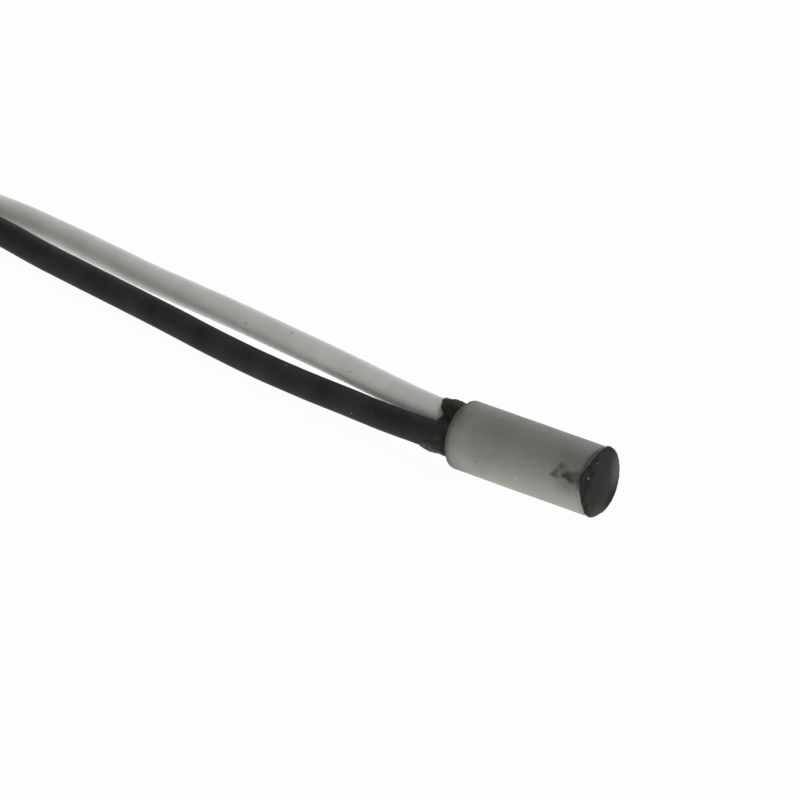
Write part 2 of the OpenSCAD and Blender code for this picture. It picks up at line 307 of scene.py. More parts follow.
def stain_or_painted_light(tree, place, base, centre, reach, soft, colour, share=1.0):
    """The base colour with a mark about a centre, of a reach (x, y, z) in mm: a stain, or painted
    light or shade.
    """
    away = node(tree, "ShaderNodeVectorMath", {"operation": "SUBTRACT", 1: centre}, {0: place})
    away = node(tree, "ShaderNodeVectorMath", {"operation": "DIVIDE", 1: reach},
                {0: away.outputs[0]})
    away = node(tree, "ShaderNodeVectorMath", {"operation": "LENGTH"}, {0: away.outputs[0]})
    cover = node(tree, "ShaderNodeMapRange",
                 {"interpolation_type": "SMOOTHSTEP", "From Min": 1.0, "From Max": 1.0 - soft,
                  "To Max": share}, {"Value": away.outputs["Value"]})
    both = node(tree, "ShaderNodeMix", {"data_type": "RGBA", 7: linear(colour)},
                {0: cover.outputs[0], 6: base})
    return both.outputs[2]


def dented(tree, place, size, detail, strength, depth):
    """A normal with dents of a size and depth in mm."""
    dents = node(tree, "ShaderNodeTexNoise", {"Scale": 1 / size, "Detail": detail},
                 {"Vector": place})
    bump = node(tree, "ShaderNodeBump", {"Strength": strength, "Distance": depth * MM},
                {"Height": dents.outputs["Fac"]})
    return bump.outputs[0]


def fluoropolymer(name, dark, light, grain, marks, settings):
    """Extruded PTFE: waxy and satin, with faint cloudy patches, dust, marks and soft dents."""
    material, tree, place = new_material(name)
    base = clouded(tree, place, size=1.6, detail=3, dark=dark, light=light)
    base = speckled(tree, place, base, size=0.18, low=0.74, high=0.8, colour=grain, share=0.6)
    for centre, reach, colour in marks:
        base = stain_or_painted_light(tree, place, base, centre, reach, soft=0.8, colour=colour)
    dents = dented(tree, place, size=0.5, detail=2, strength=0.35, depth=0.02)
    finish_material(tree, {"IOR": 1.38, **settings}, {"Base Color": base, "Normal": dents})
    return material


def lead(name, route, tail, lane):
    """One insulated lead on its whole way, and its centreline in mm."""
    path = smooth_path(route + hank_route(*lane) + tail, RING_STEP)

    def extruded_width(n):
        """The wire comes out of the die up to 1.6% under its full width."""
        return 0.992 + 0.008 * noise.noise(path[min(n, len(path) - 1)] * 0.9)

    vertices, faces = tube(path, LEAD_R, LEAD_SIDES, extruded_width)
    return mesh_object(name, vertices, faces), path


white_lead, white_path = lead("white_lead_wire", WHITE_ROUTE, WHITE_TAIL, LANES["white"])
black_lead, black_path = lead("black_lead_wire", BLACK_ROUTE, BLACK_TAIL, LANES["black"])
# Marks on the leads, by their centre and reach in mm: resin smeared on the white one next to the
# potting, and a few nicks. The white one lets some light through, and the black one hardly shines.
WHITE_MARKS = [
    ((-3.95, 0.4, 2.4), (0.38, 1, 1), "#7a7973"),
    ((-14.15, 2.3, 2.13), (0.08, 0.08, 0.08), "#72716b"),
    ((-9.85, 1.01, 2.05), (0.15, 0.05, 0.05), "#8a8983"),
    ((-16.95, 2.5, 1.63), (0.09, 0.09, 0.09), "#8f8e88"),
]
BLACK_MARKS = [
    ((-13.3, 0.75, 1.41), (0.06, 0.06, 0.12), "#8b8a84"),
    ((-8.51, -0.66, 1.07), (0.06, 0.06, 0.06), "#8b8a84"),
]
white_lead.data.materials.append(fluoropolymer(
    "white_ptfe_extruded", "#c8c7c4", "#d2d1ce", "#8a8983", WHITE_MARKS,
    {"Roughness": 0.5, "Specular IOR Level": 0.2, "Subsurface Weight": 1.0,
     "Subsurface Radius": (1, 1, 1), "Subsurface Scale": 1.0 * MM}))
black_lead.data.materials.append(fluoropolymer(
    "black_ptfe_extruded", "#262627", "#333334", "#77766f", BLACK_MARKS,
    {"Roughness": 0.5, "Specular IOR Level": 0.05}))
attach(white_lead, "root")
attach(black_lead, "root")
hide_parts("white_lead", "white_lead_tail", "lead_hank")
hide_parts("black_lead", "black_lead_tail")

# Bare lead ends
# Each lead is stripped for 5 mm at its free end: seven tinned copper strands, laid in a twist.
# The tin fills the gaps between the strands near the insulation and lets them spread at the tip.
STRIP_LEN = 5.0
STRANDS = 7
STRAND_D = 0.2
# Half turns that a strand makes about the middle one, over its length.
STRAND_HALF_TURNS = 2.4


def tinned_copper():
    """Hot-tinned copper: soft bright metal with dull and cloudy patches."""
    material, tree, place = new_material("tinned_copper_strand")
    size = 0.25
    patches = node(tree, "ShaderNodeTexNoise", {"Scale": 1 / size, "Detail": 3}, {"Vector": place})
    gloss = node(tree, "ShaderNodeMapRange", {"To Min": 0.22, "To Max": 0.42},
                 {"Value": patches.outputs["Fac"]})
    base = clouded(tree, place, size, detail=3, dark="#a8a6a0", light="#d0cfca")
    finish_material(tree, {"Metallic": 1.0}, {"Base Color": base, "Roughness": gloss.outputs[0]})
    return material


tinned = tinned_copper()


def bare_end(name, path):
    """A middle strand and six round it, which carry on from the end of a lead's path."""
    point, along, side, over = route_frames(path)[-1]
    vertices = []
    faces = []
    steps = 36
    tucked_in = 0.3
    cut_unevenly = 0.08
    tinned_r = STRAND_D / 2 * 1.04
    for strand in range(STRANDS):
        spread = 0 if strand == 0 else STRAND_D
        start = strand * math.pi / 3
        length = STRIP_LEN + tucked_in - cut_unevenly * (strand % 3)
        route = []
        for k in range(steps + 1):
            share = k / steps
            turn = start + share * STRAND_HALF_TURNS * math.pi
            out = spread * (1 + 0.35 * share ** 6)
            offset = over * math.cos(turn) * out + side * math.sin(turn) * out
            route.append(point + along * (length * share - tucked_in) + offset)
        strand_vertices, strand_faces = tube(route, tinned_r, 10)
        first = len(vertices)
        vertices += strand_vertices
        faces += [tuple(first + v for v in face) for face in strand_faces]
    piece = mesh_object(name, vertices, faces)
    piece.data.materials.append(tinned)
    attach(piece, "root")
    return piece


white_tip = bare_end("white_lead_strands", white_path)
black_tip = bare_end("black_lead_strands", black_path)
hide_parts("white_lead_tip")
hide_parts("black_lead_tip")

# Hank tie
# A plastic-covered wire tie goes once round the waist of the hank, and its ends are twisted.
# It is soft matt vinyl over a thin steel wire, which shows as a ridge along its middle.
TIE_STRIP_T = 0.19
TIE_RIDGE_H = 0.2
TIE_TWIST_LEN = 4.9


def tie_loop():
    """The tie's inside outline about the waist, in mm as (y, z), with rounded corners."""
    waist = 2.6
    corner_cut = 0.54
    steps = 6
    top = LEAD_D / MM * (HANK_TURNS + 1) + TIE_T
    low_top = LEAD_D / MM * HANK_TURNS + TIE_T
    corners = [(-waist, TIE_T), (waist, TIE_T), (waist, top), (0.1, top), (-waist, low_top)]
    outline = []
    for k, corner in enumerate(corners):
        here = Vector(corner)
        before = (Vector(corners[k - 1]) - here).normalized()
        after = (Vector(corners[(k + 1) % len(corners)]) - here).normalized()
        for step in range(steps + 1):
            t = step / steps
            a = here + before * corner_cut * (1 - t)
            b = here + after * corner_cut * t
            outline.append(a.lerp(b, t))
    return outline


def tie_band():
    """Vertices and faces of the band, a flat strip with a ridge where its wire runs."""
    outline = tie_loop()
    middle_x = HANK_NEAR_X - HANK_RUN / 2
    section = []
    columns = 24
    ridge_spread = 0.22
    inner_face = 0.01
    for k in range(columns + 1):
        across = -1 + 2 * k / columns
        thick = TIE_STRIP_T + TIE_RIDGE_H * math.exp(-(across / ridge_spread) ** 2)
        section.append((across * TIE_W / 2, thick))
    section += [(x, inner_face) for x, _ in reversed(section)]
    vertices = []
    faces = []
    count = len(outline)
    size = len(section)
    for k, point in enumerate(outline):
        along = (outline[(k + 1) % count] - outline[k - 1]).normalized()
        out = Vector((along.y, -along.x))
        for x, height in section:
            place = point + out * height
            vertices.append((middle_x + x, HANK_Y + place.x, place.y))
    for k in range(count):
        for n in range(size):
            a = k * size + n
            b = k * size + (n + 1) % size
            c = (k + 1) % count * size
            faces.append((a, c + n, c + (n + 1) % size, b))
    return vertices, faces


def tie_twist():
    """The two ends of the tie, twisted round each other beside the waist."""
    root = Vector((HANK_NEAR_X - HANK_RUN / 2, HANK_Y + 2.9, 2.0))
    lean = math.radians(30)
    along = Vector((-math.cos(lean), math.sin(lean), 0))
    over = Vector((0, 0, 1))
    side = over.cross(along)
    # Strip across and through: thicker in the middle, where its wire runs.
    strip = ((-0.55, -0.1), (0, -0.17), (0.55, -0.1), (0.55, 0.1), (0, 0.17), (-0.55, 0.1))
    sides = len(strip)
    half_turns = 5
    off_axis = 0.22
    vertices = []
    faces = []
    steps = 60
    for end in (0, math.pi):
        first = len(vertices)
        for k in range(steps + 1):
            share = k / steps
            turn = end + share * half_turns * math.pi
            out = side * math.cos(turn) + over * math.sin(turn)
            flat = along.cross(out)
            middle = root + along * TIE_TWIST_LEN * share + out * off_axis
            for across, thick in strip:
                vertices.append(middle + flat * across + out * thick)
        for k in range(steps):
            for n in range(sides):
                a = first + k * sides + n
                b = first + k * sides + (n + 1) % sides
                faces.append((a, a + sides, b + sides, b))
        last = first + steps * sides
        faces.append(tuple(range(first, first + sides)))
        faces.append(tuple(reversed(range(last, last + sides))))
    return vertices, faces


def vinyl():
    """Soft vinyl on the tie: matt, a little cloudy, with a fine pressed grain."""
    material, tree, place = new_material("white_vinyl_pressed")
    base = clouded(tree, place, size=1.2, detail=2, dark="#c9c8c2", light="#d8d7d2")
    grain = dented(tree, place, size=0.12, detail=2, strength=0.3, depth=0.02)
    finish_material(tree, {"Roughness": 0.6}, {"Base Color": base, "Normal": grain})
    return material


band_vertices, band_faces = tie_band()
twist_vertices, twist_faces = tie_twist()
first_of_twist = len(band_vertices)
twist_faces = [tuple(first_of_twist + v for v in face) for face in twist_faces]
tie = mesh_object("hank_twist_tie", band_vertices + twist_vertices, band_faces + twist_faces)
tie.data.materials.append(vinyl())
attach(tie, "root")
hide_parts("hank_tie")

# Ceramic case
# A sintered alumina tube, cut to length and tumbled, so that both ends have a small broken edge.
# It is grey and matt and a little mottled, and the sealing resin has marked it near the tip. Its
# underside near the tip is made paler with painted light, and its rims are darkened partly with
# painted shade.
CASE_R = 1.6
BORE_R = 1.33
CASE_BACK = -2.65
CASE_FRONT = 4.62
BACK_EDGE = 0.06
FRONT_EDGE = 0.12
AXIS_Z = 1.6
CASE_SIDES = 256


def around(x, radius, turn):
    """A point at a distance from the case's axis; turn goes from the top towards the front."""
    return Vector((x, -radius * math.sin(turn), AXIS_Z + radius * math.cos(turn)))


def edge_arc(x, radius, size, first, last, steps):
    """Profile points on a rounded edge, from one angle in degrees to another."""
    angles = [math.radians(first + (last - first) * k / steps) for k in range(steps + 1)]
    return [(x + size * math.cos(angle), radius + size * math.sin(angle)) for angle in angles]


def rough(place, *layers):
    """The sum of layers of noise, each of a height in mm and a number of lumps per mm."""
    return sum(height * noise.noise(place * per_mm) for height, per_mm in layers)


def turned_piece(name, profile, sides, wear):
    """A closed ring of profile points (x, radius) turned about the case's axis."""
    vertices = []
    faces = []
    for x, radius in profile:
        for k in range(sides):
            turn = 2 * math.pi * k / sides
            vertices.append(around(*wear(x, radius, turn), turn))
    rings = len(profile)
    for n in range(rings):
        for k in range(sides):
            a = n * sides + k
            b = n * sides + (k + 1) % sides
            c = (n + 1) % rings * sides
            faces.append((a, b, c + (k + 1) % sides, c + k))
    return mesh_object(name, vertices, faces)


def case_wear(x, radius, turn):
    """Slight unevenness of the sintered surface, and small chips along both rims."""
    if radius < BORE_R + 0.02:
        return x, radius
    place = around(x, radius, turn)
    least = 0.006
    uneven = rough(place, (0.004, 0.9), (0.003, 3.5))
    rim = math.exp(-(x - CASE_BACK) / 0.12) + math.exp(-(CASE_FRONT - x) / 0.1)
    # Only where this noise is high has the rim lost a chip.
    chip_depth = 0.11
    chipped = max(0, noise.noise(place * 3.2 + Vector((7, 3, 1))) - 0.18)
    grit = abs(rough(place, (0.012, 9)))
    return x, radius - least - uneven - (chipped * chip_depth + grit) * min(1, rim)


# Outline of the tube's wall as (x, radius): back face, outside, front face and bore.
body_back = CASE_BACK + BACK_EDGE
body_front = CASE_FRONT - FRONT_EDGE
face_steps = 3
body_steps = 90
bore_steps = 12
case_profile = [(CASE_BACK, BORE_R + (CASE_R - BACK_EDGE - BORE_R) * k / face_steps)
                for k in range(face_steps)]
case_profile += edge_arc(body_back, CASE_R - BACK_EDGE, BACK_EDGE, 180, 90, 6)
case_profile += [(body_back + (body_front - body_back) * k / body_steps, CASE_R)
                 for k in range(1, body_steps)]
case_profile += edge_arc(body_front, CASE_R - FRONT_EDGE, FRONT_EDGE, 90, 0, 8)
case_profile += [(CASE_FRONT, BORE_R + 0.06)]
case_profile += [(CASE_FRONT + (CASE_BACK - CASE_FRONT) * k / bore_steps, BORE_R)
                 for k in range(bore_steps)]
case = turned_piece("ceramic_case_tube", case_profile, CASE_SIDES, case_wear)


def warped(tree, place, size, amount):
    """The place, pushed about by noise of a size and amount in mm, for ragged edges."""
    push = node(tree, "ShaderNodeTexNoise", {"Scale": 1 / size, "Detail": 3}, {"Vector": place})
    push = node(tree, "ShaderNodeVectorMath", {"operation": "SUBTRACT", 1: (0.5, 0.5, 0.5)},
                {0: push.outputs["Color"]})
    moved = node(tree, "ShaderNodeVectorMath", {"operation": "MULTIPLY_ADD", 1: (amount * 2,) * 3},
                 {0: push.outputs[0], 2: place})
    return moved.outputs[0]


# Soft marks on the case: place along it in mm, turn from its top in degrees, reach along and across
# it in mm, how soft, colour and share. Most are stains that handling and the sealing resin left, and
# some are painted light and shade.
STAINS_AND_PAINTED_SHADING = [
    (-2.3, 60, 1.9, 1.3, 1.0, "#8d8c86", 0.5),
    (-1.4, 30, 0.7, 0.5, 1.0, "#877f78", 0.5),
    (-2.3, 42, 0.6, 0.4, 1.0, "#6f7673", 0.7),
    (-2.45, 25, 0.35, 0.4, 1.0, "#55544b", 0.6),
    (-2.3, 124, 1.6, 0.7, 1.0, "#5b5a56", 0.5),
    # These two are painted light: they make the underside paler towards the tip.
    (3.6, 119, 2.5, 0.8, 1.0, "#85827b", 0.7),
    (4.4, 112, 0.6, 0.35, 1.0, "#8f897b", 0.5),
    (4.2, 42, 1.6, 1.0, 1.0, "#52504b", 0.4),
    (3.94, 78, 1.1, 0.6, 1.0, "#66655a", 0.8),
    (4.35, 73, 0.5, 0.35, 1.0, "#5c5b51", 0.6),
    (3.56, 53, 0.36, 0.26, 1.0, "#403f38", 0.8),
    (4.4, 61, 0.6, 0.42, 0.7, "#4b4a44", 0.95),
    (4.55, 67, 0.35, 0.26, 0.8, "#4b4a44", 0.9),
    (4.0, 61, 0.5, 0.3, 0.8, "#43423c", 0.9),
    (3.86, 64, 0.4, 0.24, 0.8, "#26251e", 1.0),
    (4.05, 67, 0.36, 0.22, 0.8, "#292821", 1.0),
    (4.24, 70, 0.3, 0.16, 0.9, "#34332c", 0.9),
    (3.19, 70, 0.24, 0.18, 1.0, "#32312a", 0.8),
    (3.29, 66, 0.24, 0.18, 1.0, "#32312a", 0.8),
    (3.4, 61, 0.24, 0.2, 1.0, "#32312a", 0.8),
    (3.48, 69, 0.17, 0.14, 1.0, "#32312a", 0.7),
    # These last rows lie on and next to the front rim. They are partly resin wiped over it and
    # partly painted shade, which darkens the rim where its rounded edge would catch light.
    (4.6, 30, 0.5, 1.1, 1.0, "#3a3a36", 0.15),
    (4.7, -14, 0.3, 0.6, 1.0, "#4a4a45", 1.0),
    (4.68, 4, 0.21, 0.75, 1.0, "#1e1d1a", 1.0),
    (4.68, 22, 0.22, 0.75, 1.0, "#151411", 1.0),
    (4.68, 40, 0.22, 0.75, 1.0, "#151411", 1.0),
    (4.68, 58, 0.23, 0.75, 1.0, "#151411", 1.0),
    (4.7, 75, 0.28, 0.5, 1.0, "#302f2a", 0.9),
    (4.74, 94, 0.2, 0.45, 1.0, "#5a594f", 0.6),
]
# Pores and grains: place along the case in mm, turn from its top in degrees, radius and colour.
PORES = [
    (-0.1, 62, 0.05, "#96958e"), (0.75, 48, 0.045, "#94938c"), (1.6, 68, 0.05, "#96958e"),
    (2.2, 61, 0.055, "#98978f"), (1.3, 97, 0.07, "#a4a39c"), (-2.0, 49, 0.06, "#5c5c57"),
    (-0.9, 94, 0.065, "#55554f"), (0.4, 41, 0.045, "#63625c"), (0.15, 57, 0.05, "#6a6963"),
]


def grey_alumina():
    """Sintered alumina: matt, cloudy in patches of 1 to 2 mm, with stains and dark pores, and
    painted light and shade at its rims and underside.
    """
    material, tree, place = new_material("grey_alumina_sintered")
    base = clouded(tree, place, size=2.2, detail=3, dark="#7e7d78", light="#888782")
    # Brownish patches, and greenish ones from another part of the noise.
    base = speckled(tree, place, base, size=1.1, low=0.52, high=0.75, colour="#847b73", share=0.6)
    aside = node(tree, "ShaderNodeVectorMath", {"operation": "ADD", 1: (40, 0, 0)}, {0: place})
    base = speckled(tree, aside.outputs[0], base, size=1.3, low=0.5, high=0.72, colour="#6e7671",
                    share=0.6)
    ragged = warped(tree, place, size=0.28, amount=0.14)
    for x, turn, along, across, soft, colour, share in STAINS_AND_PAINTED_SHADING:
        # Marks that lie on the rim have plain edges, and the others have ragged ones.
        where = place if x > CASE_FRONT else ragged
        base = stain_or_painted_light(tree, where, base, around(x, CASE_R, math.radians(turn)),
                       (along, across, across), soft, colour, share)
    # A dull band runs round the back rim, partly resin bleed and partly painted shade, and it is
    # darkest at its edge.
    back_rim = (CASE_BACK, 0, AXIS_Z)
    base = stain_or_painted_light(tree, ragged, base, back_rim, (1.0, 9, 9), 1.0, "#53524d", share=0.5)
    base = stain_or_painted_light(tree, place, base, back_rim, (0.36, 9, 9), 1.0, "#30302d", share=0.9)
    for x, turn, radius, colour in PORES:
        base = stain_or_painted_light(tree, place, base, around(x, CASE_R, math.radians(turn)),
                       (radius, radius, radius), soft=0.6, colour=colour)
    pits = dented(tree, place, size=0.07, detail=3, strength=0.3, depth=0.012)
    finish_material(tree, {"Roughness": 0.55, "IOR": 1.76, "Specular IOR Level": 0.15},
                    {"Base Color": base, "Normal": pits})
    return material


case.data.materials.append(grey_alumina())
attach(case, "root")
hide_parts("ceramic_case")

# Tip seal
# Dark epoxy fills the open end of the tube flush, and the surplus is wiped over part of the rim.
# It is nearly black and matt, with a ragged edge, and it has a few pale spots painted as glints and
# a painted highlight on its far side.
SEAL_H = 0.03
SEAL_DOME = 0.06
SEAL_SIDES = 256
PLUG_BACK = 4.1
# Resin on the rim stands this much prouder, and more in two beads where it sagged: turn and
# spread in degrees, and height in mm.
RIM_RESIN_H = 0.02
RIM_BEADS = [(198, 46, 0.1), (318, 26, 0.04)]
# Reach of the seal from the middle of the face, over the rim and back, by the turn in degrees.
SEAL_EDGE = [(-90, 1.74), (-35, 1.74), (-20, 1.58), (-8, 1.45), (8, 1.37), (26, 1.34), (41, 1.39),
             (54, 1.54), (67, 1.5), (78, 1.45), (100, 1.35), (124, 1.4), (141, 1.54), (165, 1.72),
             (270, 1.74)]


def by_turn(table, turn):
    """The value at a turn, between the rows of a table from -90 to 270 degrees."""
    degrees = (math.degrees(turn) + 90) % 360 - 90
    for (low, near), (high, far) in zip(table, table[1:]):
        if low <= degrees <= high:
            return near + (far - near) * smooth(low, high, degrees)


def seal_reach(turn):
    """The reach of the seal at a turn, with a ragged edge."""
    return by_turn(SEAL_EDGE, turn) + rough(around(0, CASE_R, turn), (0.03, 2.6), (0.03, 7))


def seal_bead(turn):
    """How much prouder the resin stands on the rim than on the face, in mm."""
    degrees = math.degrees(turn)
    return RIM_RESIN_H + sum(height * math.exp(-((degrees - middle) / spread) ** 2)
                             for middle, spread, height in RIM_BEADS)


def on_tube_end(path, height):
    """(x, radius) at a path length from the face's middle, over the rim, and a height above it."""
    flat = CASE_R - FRONT_EDGE
    if path <= flat:
        return CASE_FRONT + height, path
    bend = (path - flat) / FRONT_EDGE
    if bend < math.pi / 2:
        size = FRONT_EDGE + height
        return CASE_FRONT - FRONT_EDGE + size * math.cos(bend), flat + size * math.sin(bend)
    return CASE_FRONT - FRONT_EDGE - (bend - math.pi / 2) * FRONT_EDGE, CASE_R + height


def closed_rings(vertices, sides):
    """Faces over rings of vertices, from a first vertex in front to a last one behind."""
    rings = (len(vertices) - 2) // sides
    last_ring = 1 + (rings - 1) * sides
    faces = []
    for k in range(sides):
        after = (k + 1) % sides
        faces.append((0, 1 + k, 1 + after))
        for a in range(1, last_ring, sides):
            faces.append((a + k, a + sides + k, a + sides + after, a + after))
        faces.append((last_ring + k, len(vertices) - 1, last_ring + after))
    return faces


def seal_mesh():
    """The seal's skin ring by ring from the middle outwards, then its plug inside the bore."""
    vertices = [around(CASE_FRONT + SEAL_H + SEAL_DOME, 0, 0)]
    shares = [0.1, 0.2, 0.3, 0.4, 0.5, 0.6, 0.68, 0.74, 0.79, 0.83, 0.865, 0.89, 0.91, 0.93,
              0.945, 0.96, 0.972, 0.983, 0.992, 1.0]
    proudest_at = CASE_R - 0.02
    proud_spread = 0.14
    sunk_edge = 0.014
    for share in shares:
        for k in range(SEAL_SIDES):
            turn = 2 * math.pi * k / SEAL_SIDES
            path = seal_reach(turn) * share
            place = around(CASE_FRONT, path, turn)
            over_rim = math.exp(-((path - proudest_at) / proud_spread) ** 2)
            lumps = rough(place, (0.012, 6), (0.006, 14))
            full = math.sqrt(max(0, 1 - share ** 14))
            height = full * (SEAL_H + (seal_bead(turn) + lumps) * over_rim)
            height += SEAL_DOME * max(0, 1 - (path / CASE_R) ** 2)
            if share == 1.0:
                height -= sunk_edge
            vertex = around(*on_tube_end(path, height), turn)
            # The probe lies on the bench, so no resin reaches below it.
            vertex.z = max(vertex.z, 0)
            vertices.append(vertex)
    for x in (CASE_FRONT - 0.04, PLUG_BACK):
        for k in range(SEAL_SIDES):
            vertices.append(around(x, BORE_R, 2 * math.pi * k / SEAL_SIDES))
    vertices.append(around(PLUG_BACK, 0, 0))
    return vertices, closed_rings(vertices, SEAL_SIDES)


# Dark streaks on the seal: turn from the top in degrees, distance from the axis and reach in mm.
STREAKS = [
    (12, 1.15, 0.24), (40, 0.85, 0.26), (36, 1.15, 0.3), (68, 0.95, 0.36), (81, 0.7, 0.2),
    (88, 1.05, 0.29), (104, 1.2, 0.25), (130, 1.24, 0.22),
]
# Pale spots painted on it as glints: y, z and radius in mm, and colour.
PAINTED_GLINTS = [
    (-0.17, 2.62, 0.05, "#6e6e6a"), (-0.85, 2.15, 0.065, "#8c8c87"), (-0.75, 0.62, 0.045, "#63635f"),
]


def dark_epoxy():
    """Filled epoxy: nearly black and matt, with darker streaks, pale spots painted as glints, and a
    painted highlight at its far side.
    """
    material, tree, place = new_material("dark_epoxy_wiped")
    face_x = 4.7
    base = clouded(tree, place, size=0.9, detail=3, dark="#201f1e", light="#282726")
    ragged = warped(tree, place, size=0.3, amount=0.12)
    # Lighter at the far side, a painted highlight where the rounded rim catches light; brownish at
    # the bottom and darker at the near side.
    near_side = around(face_x, 1.15, math.radians(72))
    for centre, reach, colour, share in (((4.65, 1.5, 1.7), (1, 0.9, 1.6), "#5b5b5a", 0.8),
                                         ((4.65, -0.1, 0.0), (1, 1.2, 0.75), "#4c4640", 0.9),
                                         (near_side, (1, 0.5, 0.85), "#161611", 0.8)):
        base = stain_or_painted_light(tree, ragged, base, centre, reach, 1.0, colour, share)
    for turn, radius, reach in STREAKS:
        base = stain_or_painted_light(tree, ragged, base, around(face_x, radius, math.radians(turn)),
                       (1, reach * 0.8, reach), soft=0.9, colour="#050404")
    for y, z, radius, colour in PAINTED_GLINTS:
        base = stain_or_painted_light(tree, place, base, (face_x, y, z), (0.2, radius, radius), soft=0.5,
                       colour=colour)
    dents = dented(tree, place, size=0.22, detail=3, strength=0.3, depth=0.02)
    finish_material(tree, {"Roughness": 0.55, "IOR": 1.5, "Specular IOR Level": 0.1},
                    {"Base Color": base, "Normal": dents})
    return material


seal = mesh_object("tip_seal_epoxy", *seal_mesh())
seal.data.materials.append(dark_epoxy())
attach(seal, "root")
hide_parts("tip_seal")

# Lead-end potting
# Near-black resin fills the other end round both leads and wets them outside the tube.
# It has crept along the crevice between the leads, and left a scuffed lip under the black one.
POTTING_FRONT = -1.05
POTTING_SIDES = 240
# Middle between the leads where they leave the tube, and the way from it to the white one: y, z.
PAIR = (-0.039, 1.692)
TO_WHITE = (0.589, 0.25)
# Thickness of the resin on the leads, and its bead: height, distance behind the case and spread.
FILM_T = 0.085
FILM_BEAD = (0.045, 1.2, 0.25)
# Distance from the middle at which the noise that makes the resin uneven is read.
NOISE_R = 1.2
# Reach of the resin behind the case in mm, by the turn in degrees from the top to the front.
POTTING_EDGE = [(-90, 1.6), (-50, 1.8), (-36, 1.7), (-18, 1.52), (0, 1.22), (14, 1.34), (28, 1.42),
                (46, 1.2), (65, 0.84), (80, 0.72), (94, 0.96), (106, 1.45), (118, 1.75),
                (132, 1.82), (150, 1.7), (190, 1.4), (270, 1.6)]


def potting_reach(turn):
    """The reach of the resin at a turn, with a ragged edge."""
    return by_turn(POTTING_EDGE, turn) + rough(around(0, NOISE_R, turn), (0.02, 2.6), (0.025, 7))


def pair_surface(turn, skin):
    """Distance from between the leads to a skin over both, with a fillet in the crevice."""
    low = 0.0
    high = 3.0
    halvings = 22
    for _ in range(halvings):
        middle = (low + high) / 2
        y = -math.sin(turn) * middle
        z = math.cos(turn) * middle
        to_white = math.hypot(y - TO_WHITE[0], z - TO_WHITE[1]) - LEAD_R - skin
        to_black = math.hypot(y + TO_WHITE[0], z + TO_WHITE[1]) - LEAD_R - skin
        fillet = 0.1 + max(0, skin) * 2.5
        blend = max(0, fillet - abs(to_white - to_black)) / fillet
        depth = min(to_white, to_black) - blend * blend * fillet / 4
        low, high = (middle, high) if depth < 0 else (low, middle)
    return middle


def potting_mesh():
    """The potting from inside the bore, round its face and along the leads to its ragged end."""
    shares = [0.0, 0.04, 0.09, 0.15, 0.22, 0.3, 0.38, 0.46, 0.54, 0.62, 0.7, 0.77, 0.83, 0.88,
              0.92, 0.95, 0.975, 0.99, 1.0]
    bead_h, bead_at, bead_spread = FILM_BEAD
    deepest = -0.03
    sunk_end = -0.05
    collar_length = 0.22
    vertices = [Vector((POTTING_FRONT, 0, AXIS_Z))]
    for x in (POTTING_FRONT, -1.8, -2.4, CASE_BACK + 0.02):
        for k in range(POTTING_SIDES):
            vertices.append(around(x, BORE_R - 0.004, 2 * math.pi * k / POTTING_SIDES))
    for share in shares:
        for k in range(POTTING_SIDES):
            turn = 2 * math.pi * k / POTTING_SIDES
            back = potting_reach(turn) * share
            film = FILM_T + bead_h * math.exp(-((back - bead_at) / bead_spread) ** 2)
            film *= math.sqrt(max(0, 1 - share ** 4))
            place = Vector((-back, -math.sin(turn) * NOISE_R, math.cos(turn) * NOISE_R))
            lumps = rough(place, (0.05, 2.4), (0.04, 6.5), (0.02, 15))
            film += lumps * smooth(0, 0.25, share) * (1 - share ** 6)
            radius = pair_surface(turn, sunk_end if share == 1.0 else max(deepest, film))
            x = CASE_BACK - 0.01 - back
            place = Vector((x, PAIR[0] - math.sin(turn) * radius,
                            PAIR[1] + math.cos(turn) * radius))
            # Next to the case the skin flares out to the bore's edge, as a collar.
            flare = around(x, BORE_R - 0.015, turn)
            vertices.append(place.lerp(flare, 0.8 * (1 - smooth(0, collar_length, back))))
    # The skin closes between the leads, where nothing shows.
    vertices.append(Vector((CASE_BACK - 1.4, *PAIR)))
    return vertices, closed_rings(vertices, POTTING_SIDES)


def black_resin():
    """Cast resin: near black with a brown cast, olive-grey scuffs on the lip below, and a painted
    highlight on the collar's front.
    """
    material, tree, place = new_material("black_resin_cast")
    base = clouded(tree, place, size=0.5, detail=3, dark="#191813", light="#22211b")
    scuffed = speckled(tree, place, base, size=0.14, low=0.36, high=0.6, colour="#46453d")
    scuffed = speckled(tree, place, scuffed, size=0.11, low=0.62, high=0.74, colour="#5f5e55")
    # The lip lies below Z = 1.6 mm, and behind X = -3 mm it is scuffed most.
    where = node(tree, "ShaderNodeSeparateXYZ", {}, {0: place})
    below = node(tree, "ShaderNodeMapRange", {"From Min": 1.6, "From Max": 1.15},
                 {"Value": where.outputs["Z"]})
    behind = node(tree, "ShaderNodeMapRange",
                  {"From Min": -3.0, "From Max": -3.6, "To Min": 0.15, "To Max": 1.0},
                  {"Value": where.outputs["X"]})
    lip = node(tree, "ShaderNodeMath", {"operation": "MULTIPLY"},
               {0: below.outputs[0], 1: behind.outputs[0]})
    worn = node(tree, "ShaderNodeMix", {"data_type": "RGBA"},
                {0: lip.outputs[0], 6: base, 7: scuffed})
    # A painted highlight lies on the front of the collar.
    with_painted_highlight = stain_or_painted_light(tree, place, worn.outputs[2], (-3.4, -1.15, 1.75), (0.4, 0.5, 0.35), soft=1.0,
                    colour="#3f403c", share=0.7)
    dents = dented(tree, place, size=0.14, detail=3, strength=0.4, depth=0.03)
    finish_material(tree, {"Roughness": 0.6, "IOR": 1.5, "Specular IOR Level": 0.1},
                    {"Base Color": with_painted_highlight, "Normal": dents})
    return material


